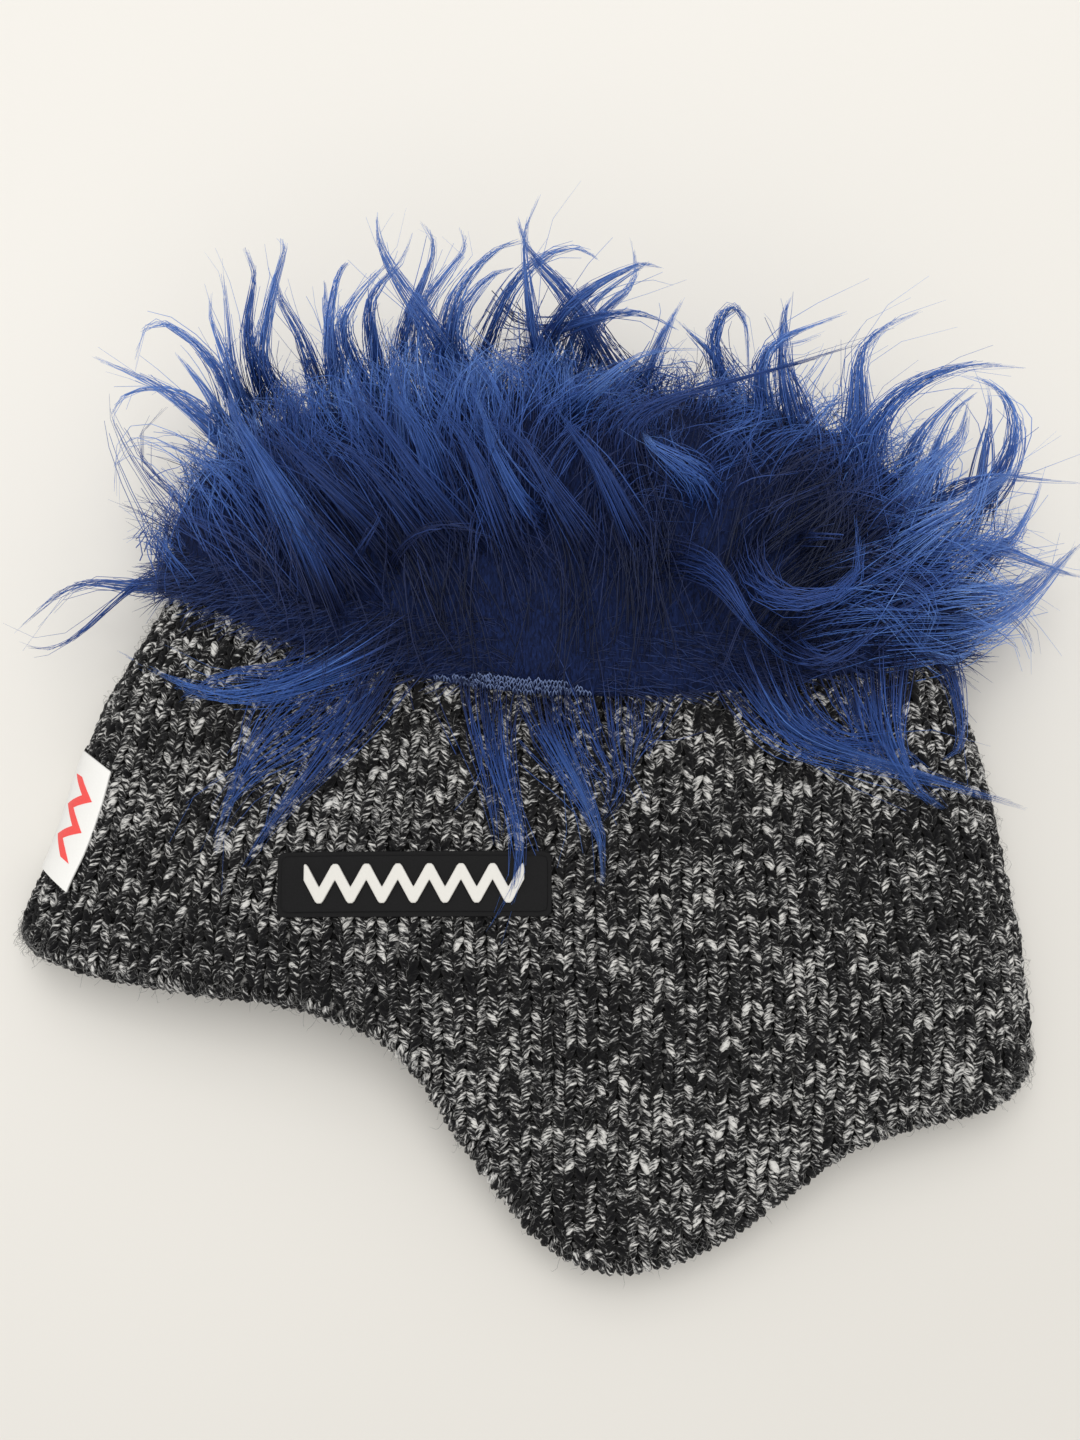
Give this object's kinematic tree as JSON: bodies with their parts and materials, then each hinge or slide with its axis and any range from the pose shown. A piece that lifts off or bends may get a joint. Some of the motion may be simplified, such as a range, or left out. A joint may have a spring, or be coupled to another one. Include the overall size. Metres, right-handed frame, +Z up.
{
  "type": "knit cap",
  "caption": "Marled rib-knit cap with ear flaps and a long blue faux-fur crown, lying flat on its side, with a black side patch and a white folded tag",
  "frame": {"origin": "on the flat underside, below the middle of the band, where the cap rests on its side", "axes": "+X from the front fold towards the nape fold, +Y from the brim towards the crown, +Z up from the floor"},
  "size_m": [0.2809, 0.2829, 0.0886],
  "materials": {
    "marled_knit": "marled black, charcoal and pale grey rib knit",
    "blue_fur": "long royal blue synthetic pile",
    "patch_rubber": "matt black",
    "white_rubber": "matt white, raised",
    "tag_white": "smooth white coated cloth"
  },
  "bodies": {
    "root": {"knit_cap": "marled_knit", "fur_crown": "blue_fur", "side_patch": "patch_rubber", "patch_zigzag": "white_rubber", "front_tag": "tag_white"}
  },
  "joints": []
}
